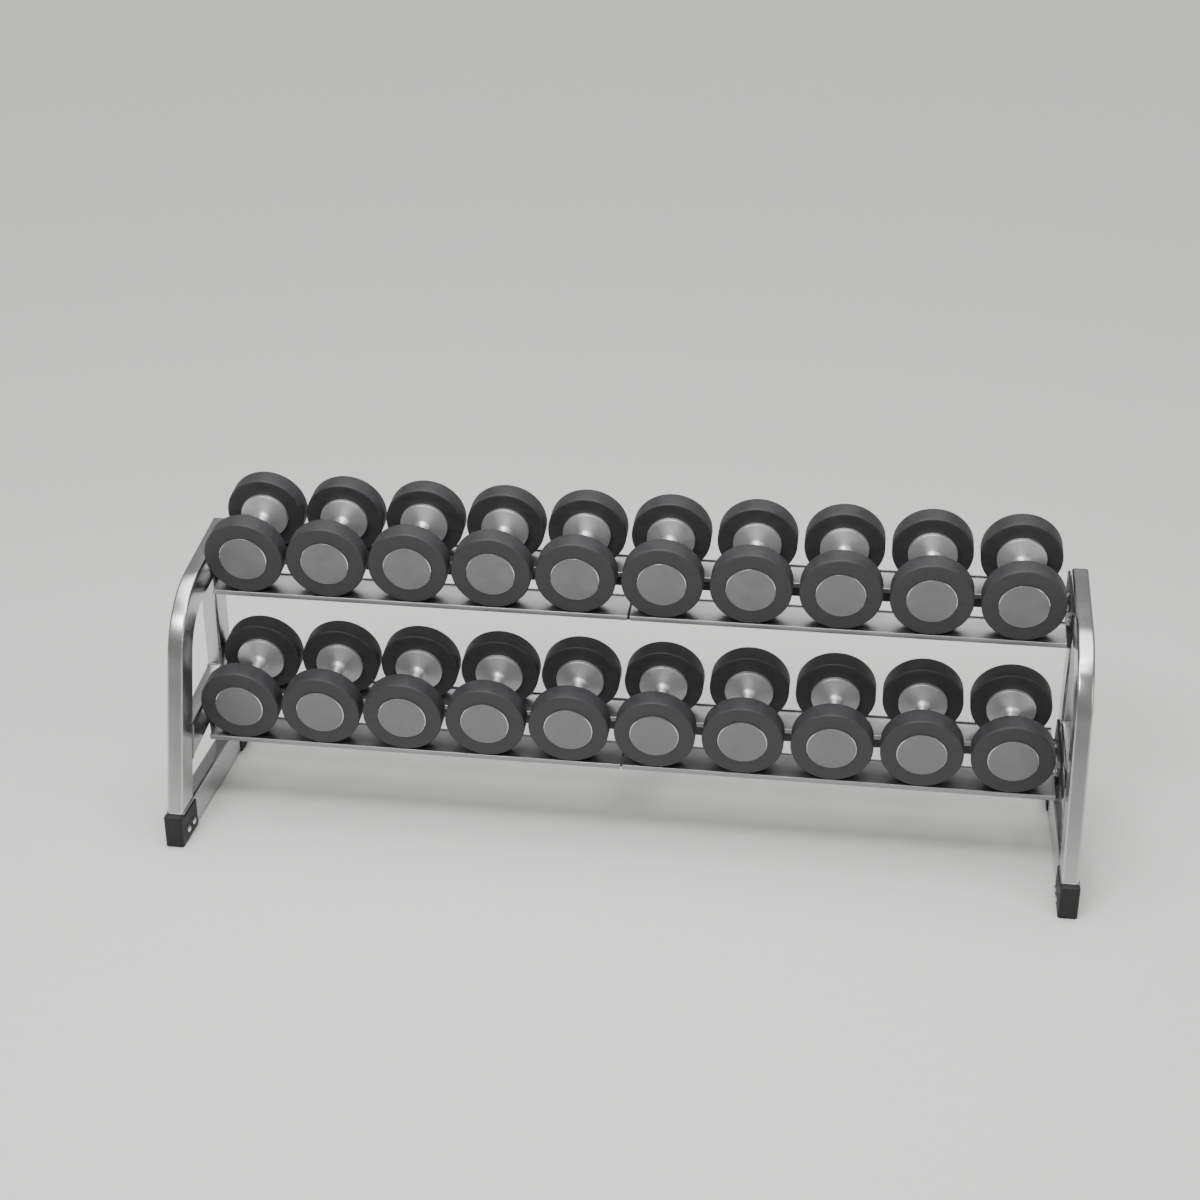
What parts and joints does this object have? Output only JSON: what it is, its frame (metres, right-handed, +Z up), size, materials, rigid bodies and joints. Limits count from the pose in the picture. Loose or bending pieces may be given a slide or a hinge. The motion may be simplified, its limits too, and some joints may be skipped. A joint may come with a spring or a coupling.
{
  "type": "dumbbell rack",
  "caption": "Two-tier steel dumbbell rack: bent tube side frames, sloped sheet rails on beams, floor boots, loaded with round urethane dumbbells that lift off.",
  "frame": {"origin": "on the floor, under the middle of the whole rack's box", "axes": "+X along the rack to the right seen from the front, +Y to the back, +Z up"},
  "size_m": [2.205, 0.5981, 0.7818],
  "materials": {
    "frame_tube": "satin",
    "rail_sheet": "satin",
    "boot_rubber": "matte",
    "plug_plastic": "matte",
    "black_coat": "satin",
    "bolt_zinc": "polished",
    "head_urethane": "matte",
    "bar_steel": "satin"
  },
  "bodies": {
    "rack": {"left_side_frame": "frame_tube", "right_side_frame": "frame_tube", "front_floor_boots": "boot_rubber", "rear_floor_boots": "boot_rubber", "top_run_plugs": "plug_plastic", "top_tier_beams": "black_coat", "lower_tier_beams": "black_coat", "beam_end_plates": "black_coat", "centre_ties": "black_coat", "end_plate_bolts": "bolt_zinc", "boot_bolts": "bolt_zinc", "rail_bolts": "bolt_zinc", "top_front_rail_left": "rail_sheet", "top_front_rail_right": "rail_sheet", "top_rear_rail_left": "rail_sheet", "top_rear_rail_right": "rail_sheet", "lower_front_rail_left": "rail_sheet", "lower_front_rail_right": "rail_sheet", "lower_rear_rail_left": "rail_sheet", "lower_rear_rail_right": "rail_sheet"},
    "top_dumbbell_01": {"top_dumbbell_01_heads": "head_urethane", "top_dumbbell_01_bar": "bar_steel"},
    "top_dumbbell_02": {"top_dumbbell_02_heads": "head_urethane", "top_dumbbell_02_bar": "bar_steel"},
    "top_dumbbell_03": {"top_dumbbell_03_heads": "head_urethane", "top_dumbbell_03_bar": "bar_steel"},
    "top_dumbbell_04": {"top_dumbbell_04_heads": "head_urethane", "top_dumbbell_04_bar": "bar_steel"},
    "top_dumbbell_05": {"top_dumbbell_05_heads": "head_urethane", "top_dumbbell_05_bar": "bar_steel"},
    "top_dumbbell_06": {"top_dumbbell_06_heads": "head_urethane", "top_dumbbell_06_bar": "bar_steel"},
    "top_dumbbell_07": {"top_dumbbell_07_heads": "head_urethane", "top_dumbbell_07_bar": "bar_steel"},
    "top_dumbbell_08": {"top_dumbbell_08_heads": "head_urethane", "top_dumbbell_08_bar": "bar_steel"},
    "top_dumbbell_09": {"top_dumbbell_09_heads": "head_urethane", "top_dumbbell_09_bar": "bar_steel"},
    "top_dumbbell_10": {"top_dumbbell_10_heads": "head_urethane", "top_dumbbell_10_bar": "bar_steel"},
    "lower_dumbbell_01": {"lower_dumbbell_01_heads": "head_urethane", "lower_dumbbell_01_bar": "bar_steel"},
    "lower_dumbbell_02": {"lower_dumbbell_02_heads": "head_urethane", "lower_dumbbell_02_bar": "bar_steel"},
    "lower_dumbbell_03": {"lower_dumbbell_03_heads": "head_urethane", "lower_dumbbell_03_bar": "bar_steel"},
    "lower_dumbbell_04": {"lower_dumbbell_04_heads": "head_urethane", "lower_dumbbell_04_bar": "bar_steel"},
    "lower_dumbbell_05": {"lower_dumbbell_05_heads": "head_urethane", "lower_dumbbell_05_bar": "bar_steel"},
    "lower_dumbbell_06": {"lower_dumbbell_06_heads": "head_urethane", "lower_dumbbell_06_bar": "bar_steel"},
    "lower_dumbbell_07": {"lower_dumbbell_07_heads": "head_urethane", "lower_dumbbell_07_bar": "bar_steel"},
    "lower_dumbbell_08": {"lower_dumbbell_08_heads": "head_urethane", "lower_dumbbell_08_bar": "bar_steel"},
    "lower_dumbbell_09": {"lower_dumbbell_09_heads": "head_urethane", "lower_dumbbell_09_bar": "bar_steel"},
    "lower_dumbbell_10": {"lower_dumbbell_10_heads": "head_urethane", "lower_dumbbell_10_bar": "bar_steel"}
  },
  "joints": [
    {"name": "top_dumbbell_01_lift", "type": "slide", "parent": "rack", "child": "top_dumbbell_01", "axis": [0, 0, 1], "range_m": [0, 0.35]},
    {"name": "top_dumbbell_02_lift", "type": "slide", "parent": "rack", "child": "top_dumbbell_02", "axis": [0, 0, 1], "range_m": [0, 0.35]},
    {"name": "top_dumbbell_03_lift", "type": "slide", "parent": "rack", "child": "top_dumbbell_03", "axis": [0, 0, 1], "range_m": [0, 0.35]},
    {"name": "top_dumbbell_04_lift", "type": "slide", "parent": "rack", "child": "top_dumbbell_04", "axis": [0, 0, 1], "range_m": [0, 0.35]},
    {"name": "top_dumbbell_05_lift", "type": "slide", "parent": "rack", "child": "top_dumbbell_05", "axis": [0, 0, 1], "range_m": [0, 0.35]},
    {"name": "top_dumbbell_06_lift", "type": "slide", "parent": "rack", "child": "top_dumbbell_06", "axis": [0, 0, 1], "range_m": [0, 0.35]},
    {"name": "top_dumbbell_07_lift", "type": "slide", "parent": "rack", "child": "top_dumbbell_07", "axis": [0, 0, 1], "range_m": [0, 0.35]},
    {"name": "top_dumbbell_08_lift", "type": "slide", "parent": "rack", "child": "top_dumbbell_08", "axis": [0, 0, 1], "range_m": [0, 0.35]},
    {"name": "top_dumbbell_09_lift", "type": "slide", "parent": "rack", "child": "top_dumbbell_09", "axis": [0, 0, 1], "range_m": [0, 0.35]},
    {"name": "top_dumbbell_10_lift", "type": "slide", "parent": "rack", "child": "top_dumbbell_10", "axis": [0, 0, 1], "range_m": [0, 0.35]},
    {"name": "lower_dumbbell_01_draw", "type": "slide", "parent": "rack", "child": "lower_dumbbell_01", "axis": [0, -0.9848, 0.1736], "range_m": [0, 0.45]},
    {"name": "lower_dumbbell_02_draw", "type": "slide", "parent": "rack", "child": "lower_dumbbell_02", "axis": [0, -0.9848, 0.1736], "range_m": [0, 0.45]},
    {"name": "lower_dumbbell_03_draw", "type": "slide", "parent": "rack", "child": "lower_dumbbell_03", "axis": [0, -0.9848, 0.1736], "range_m": [0, 0.45]},
    {"name": "lower_dumbbell_04_draw", "type": "slide", "parent": "rack", "child": "lower_dumbbell_04", "axis": [0, -0.9848, 0.1736], "range_m": [0, 0.45]},
    {"name": "lower_dumbbell_05_draw", "type": "slide", "parent": "rack", "child": "lower_dumbbell_05", "axis": [0, -0.9848, 0.1736], "range_m": [0, 0.45]},
    {"name": "lower_dumbbell_06_draw", "type": "slide", "parent": "rack", "child": "lower_dumbbell_06", "axis": [0, -0.9848, 0.1736], "range_m": [0, 0.45]},
    {"name": "lower_dumbbell_07_draw", "type": "slide", "parent": "rack", "child": "lower_dumbbell_07", "axis": [0, -0.9848, 0.1736], "range_m": [0, 0.45]},
    {"name": "lower_dumbbell_08_draw", "type": "slide", "parent": "rack", "child": "lower_dumbbell_08", "axis": [0, -0.9848, 0.1736], "range_m": [0, 0.45]},
    {"name": "lower_dumbbell_09_draw", "type": "slide", "parent": "rack", "child": "lower_dumbbell_09", "axis": [0, -0.9848, 0.1736], "range_m": [0, 0.45]},
    {"name": "lower_dumbbell_10_draw", "type": "slide", "parent": "rack", "child": "lower_dumbbell_10", "axis": [0, -0.9848, 0.1736], "range_m": [0, 0.45]}
  ]
}
